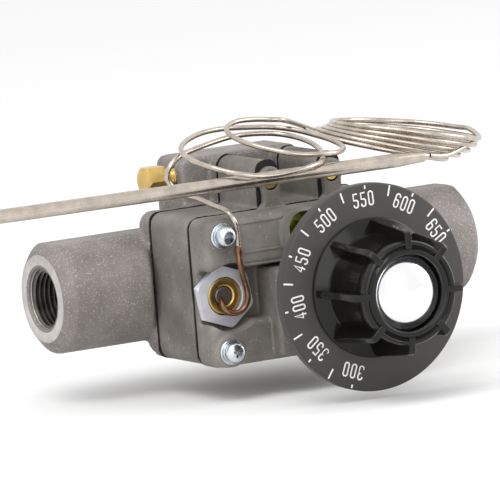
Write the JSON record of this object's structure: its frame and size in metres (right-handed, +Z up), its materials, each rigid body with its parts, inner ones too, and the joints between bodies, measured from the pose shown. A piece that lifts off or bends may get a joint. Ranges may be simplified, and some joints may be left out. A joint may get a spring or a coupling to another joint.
{
  "type": "thermostatic gas valve",
  "caption": "Thermostatic gas valve: cast body with threaded ports in line, turning temperature dial and knob, adjusting keys, and a sensing bulb on a coiled capillary.",
  "frame": {"origin": "On the axis of the two gas ports, in the plane that also holds the dial's axis.", "axes": "+X runs along the gas line from inlet to outlet, the dial faces -Y, +Z is up."},
  "size_m": [0.332, 0.1369, 0.0883],
  "materials": {
    "sand_cast": "rough grey sand casting with a sparkle",
    "die_cast": "smoother grey casting, satin",
    "gasket_sheet": "dull black sheet",
    "zinc_plate": "bright zinc plate, slightly blue",
    "bright_plate": "bright plate, lightly scuffed",
    "brass": "machined brass, a little dull",
    "copper": "drawn copper with a brown tarnish",
    "stainless": "drawn stainless steel, warm and smooth",
    "phenolic": "black moulded plastic, fairly glossy",
    "chrome": "bright chrome, brushed out from the middle",
    "chromate": "yellow-green passivated plate",
    "spring_steel": "plain spring steel, satin",
    "nitrile": "matt black rubber"
  },
  "bodies": {
    "valve_body": {"back_casting": "sand_cast", "rear_gasket": "gasket_sheet", "cover_gasket": "gasket_sheet", "middle_housing": "die_cast", "front_cover": "die_cast", "cover_screw_left_lower": "zinc_plate", "flat_washer_left_lower": "zinc_plate", "lock_washer_left_lower": "zinc_plate", "cover_screw_left_upper": "zinc_plate", "flat_washer_left_upper": "zinc_plate", "lock_washer_left_upper": "zinc_plate", "cover_screw_right_lower": "zinc_plate", "flat_washer_right_lower": "zinc_plate", "lock_washer_right_lower": "zinc_plate", "cover_screw_right_upper": "zinc_plate", "flat_washer_right_upper": "zinc_plate", "lock_washer_right_upper": "zinc_plate", "diaphragm_nut": "bright_plate", "diaphragm_ring": "brass", "valve_seat": "brass", "stem_bushing": "brass", "pilot_plug": "brass", "diaphragm_cap": "spring_steel", "valve_spring": "spring_steel", "diaphragm_capsule": "copper", "copper_capillary": "copper", "lever_pin": "stainless", "capillary_tube": "stainless", "capillary_coil": "stainless", "capillary_tail": "stainless", "sensing_bulb": "stainless", "stop_plate": "chromate"},
    "dial": {"adjusting_stem": "stainless", "stem_clip": "spring_steel", "dial_plate": "phenolic", "knob_grip": "phenolic", "knob_cap": "chrome", "knob_clip": "spring_steel"},
    "lever": {"valve_lever": "spring_steel"},
    "valve": {"valve_disc": "nitrile", "valve_stem": "stainless", "spring_retainer": "spring_steel"},
    "pilot_key_body": {"pilot_key": "brass", "pilot_key_seal": "nitrile"},
    "bypass_key_body": {"bypass_key": "brass", "bypass_key_seal": "nitrile"}
  },
  "joints": [
    {"name": "dial_turn", "type": "hinge", "parent": "valve_body", "child": "dial", "pos_m": [0, -0.07, 0.0009], "axis": [0, -1, 0], "range_deg": [-161, 64]},
    {"name": "lever_tilt", "type": "hinge", "parent": "valve_body", "child": "lever", "pos_m": [0.022, -0.033, 0], "axis": [0, 0, -1], "range_deg": [-4, 4]},
    {"name": "valve_lift", "type": "slide", "parent": "valve_body", "child": "valve", "axis": [0, 1, 0], "range_m": [-0.0008, 0.0014], "deforming": ["valve_spring"]},
    {"name": "pilot_key_turn", "type": "hinge", "parent": "valve_body", "child": "pilot_key_body", "pos_m": [-0.01, -0.03, 0.0345], "axis": [0, -1, 0], "range_deg": [-90, 90]},
    {"name": "bypass_key_turn", "type": "hinge", "parent": "valve_body", "child": "bypass_key_body", "pos_m": [0.0136, -0.03, 0.0345], "axis": [0, -1, 0], "range_deg": [-90, 90]}
  ],
  "couplings": [
    {"joint": "lever_tilt", "follows": "dial_turn", "ratio": -0.0195},
    {"joint": "valve_lift", "follows": "dial_turn", "m_per_rad": -0.00043}
  ]
}
